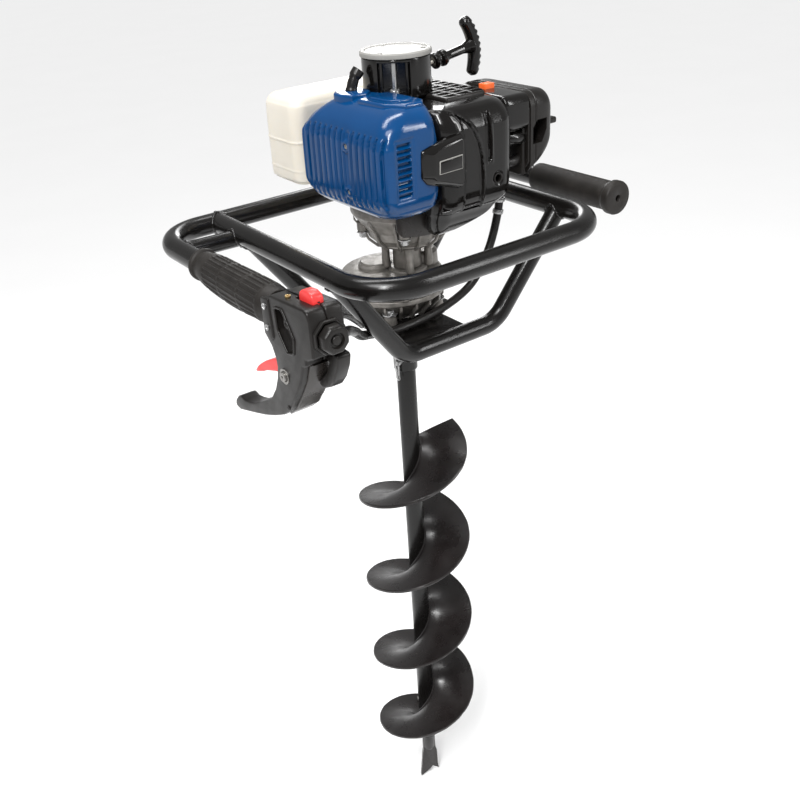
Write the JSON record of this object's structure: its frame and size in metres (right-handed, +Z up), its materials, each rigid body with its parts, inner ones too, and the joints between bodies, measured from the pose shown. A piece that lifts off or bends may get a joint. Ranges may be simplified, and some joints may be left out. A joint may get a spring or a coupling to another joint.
{
  "type": "petrol earth auger",
  "caption": "Hand-held motor-driven ground drill: tubular frame with grips, vertical-shaft engine with pull starter, reduction gearbox, pinned screw drill with pilot point.",
  "frame": {"origin": "on the drill axis, at the height of the centre lines of both grips", "axes": "+Z up along the drill axis, +X towards the plain grip, -Y the way both grips point"},
  "size_m": [0.509, 0.3926, 1.1494],
  "materials": {
    "frame_paint": "gloss black powder coat",
    "grip_rubber": "matte, finely textured",
    "plastic_black": "satin",
    "plastic_gloss": "glossy black",
    "plastic_red": "satin red",
    "plastic_orange": "satin orange",
    "plastic_blue": "glossy blue",
    "cast_aluminium": "as cast, bead blasted",
    "lid_metal": "satin silver",
    "steel": "machined",
    "tank_plastic": "translucent cream",
    "flight_paint": "satin brown-black",
    "hose_rubber": "matte",
    "cast_iron": "as cast",
    "foam": "open foam",
    "rope": "braided cord"
  },
  "bodies": {
    "frame_and_engine": {"handle_tube": "frame_paint", "ring_tube": "frame_paint", "cradle_tube_front": "frame_paint", "cradle_tube_rear": "frame_paint", "stub_brace_left": "frame_paint", "stub_brace_right": "frame_paint", "mounting_plate": "frame_paint", "grip_left": "grip_rubber", "grip_right": "grip_rubber", "throttle_housing_left": "plastic_black", "throttle_housing_right": "plastic_black", "tube_end_plug": "plastic_black", "rope_guide": "plastic_black", "filter_base": "plastic_black", "filter_cover": "plastic_black", "front_shroud": "plastic_gloss", "fan_housing": "plastic_gloss", "starter_housing": "plastic_gloss", "side_cover": "plastic_blue", "gearbox_cover": "cast_aluminium", "gearbox_base": "cast_aluminium", "clutch_housing": "cast_aluminium", "crankcase": "cast_aluminium", "carburettor": "cast_aluminium", "starter_lid": "lid_metal", "trigger_pivot_screw": "steel", "output_bearing": "steel", "spark_plug": "steel", "fuel_tank": "tank_plastic", "throttle_conduit": "hose_rubber", "stop_lead": "hose_rubber", "plug_boot": "hose_rubber", "fuel_hose": "hose_rubber", "cylinder": "cast_iron", "muffler": "cast_iron", "filter_element": "foam", "starter_rope": "rope"},
    "drill": {"output_gear": "steel", "output_shaft": "steel", "drill_socket": "frame_paint", "drill_tube": "frame_paint", "drill_flight": "flight_paint", "pilot_point": "flight_paint", "cutting_blade": "steel", "hitch_pin": "lid_metal"},
    "clip": {"hairpin_clip": "lid_metal"},
    "intermediate": {"intermediate_gear": "steel"},
    "input": {"clutch_drum": "steel"},
    "crank": {"crankshaft": "steel", "flywheel_fan": "cast_aluminium", "clutch_rotor": "cast_iron"},
    "pull_handle": {"starter_handle": "plastic_black"},
    "reel": {"starter_reel": "plastic_black"},
    "trigger": {"throttle_trigger": "plastic_red"},
    "stop_switch": {"throttle_switch": "plastic_red"},
    "carburettor_lever": {"throttle_lever": "steel"},
    "choke": {"choke_lever": "plastic_orange"},
    "primer": {"primer_bulb": "hose_rubber"},
    "tank_cap": {"fuel_cap": "plastic_black"},
    "knob": {"filter_knob": "plastic_black"}
  },
  "joints": [
    {"name": "drill_spin", "type": "hinge", "parent": "frame_and_engine", "child": "drill", "pos_m": [0, 0, -0.1], "axis": [0, 0, 1], "continuous": true},
    {"name": "clip_pull", "type": "slide", "parent": "drill", "child": "clip", "axis": [0, 0, -1], "range_m": [0, 0.03]},
    {"name": "intermediate_spin", "type": "hinge", "parent": "frame_and_engine", "child": "intermediate", "pos_m": [-0.013, 0.031, -0.085], "axis": [0, 0, 1], "continuous": true},
    {"name": "input_spin", "type": "hinge", "parent": "frame_and_engine", "child": "input", "pos_m": [0.012, 0, -0.05], "axis": [0, 0, 1], "continuous": true},
    {"name": "crank_spin", "type": "hinge", "parent": "frame_and_engine", "child": "crank", "pos_m": [0.012, 0, 0.05], "axis": [0, 0, 1], "continuous": true},
    {"name": "starter_pull", "type": "slide", "parent": "frame_and_engine", "child": "pull_handle", "axis": [0.9848, 0, 0.1736], "range_m": [0, 0.65], "stiffness_N_per_m": 15, "springref_m": -0.15, "deforming": ["starter_rope"]},
    {"name": "reel_spin", "type": "hinge", "parent": "frame_and_engine", "child": "reel", "pos_m": [0.012, 0, 0.16], "axis": [0, 0, 1], "range_deg": [-1870, 0]},
    {"name": "trigger_pull", "type": "hinge", "parent": "frame_and_engine", "child": "trigger", "pos_m": [-0.2356, -0.16, -0.0554], "axis": [1, 0, 0], "range_deg": [0, 18], "stiffness_Nm_per_rad": 0.6, "springref_deg": -17.19},
    {"name": "carburettor_lever_turn", "type": "hinge", "parent": "frame_and_engine", "child": "carburettor_lever", "pos_m": [0.103, -0.056, 0.088], "axis": [0, 1, 0], "range_deg": [0, 27.5]},
    {"name": "stop_switch_slide", "type": "slide", "parent": "frame_and_engine", "child": "stop_switch", "axis": [0, 1, 0], "range_m": [0, 0.006]},
    {"name": "choke_turn", "type": "hinge", "parent": "frame_and_engine", "child": "choke", "pos_m": [0.115, -0.008, 0.1], "axis": [1, 0, 0], "range_deg": [-35, 0]},
    {"name": "primer_press", "type": "slide", "parent": "frame_and_engine", "child": "primer", "axis": [0, 0, 1], "range_m": [0, 0.005], "stiffness_N_per_m": 400, "springref_m": -0.002},
    {"name": "tank_cap_turn", "type": "hinge", "parent": "frame_and_engine", "child": "tank_cap", "pos_m": [0.06, 0.09, 0.155], "axis": [0, 0, 1], "range_deg": [0, 540]},
    {"name": "knob_turn", "type": "hinge", "parent": "frame_and_engine", "child": "knob", "pos_m": [0.17, -0.062, 0.092], "axis": [1, 0, 0], "range_deg": [-1080, 0]}
  ],
  "couplings": [
    {"joint": "intermediate_spin", "follows": "drill_spin", "ratio": -4.8571},
    {"joint": "input_spin", "follows": "drill_spin", "ratio": 24.98},
    {"joint": "reel_spin", "follows": "starter_pull", "rad_per_m": -50},
    {"joint": "carburettor_lever_turn", "follows": "trigger_pull", "ratio": 1.5}
  ]
}
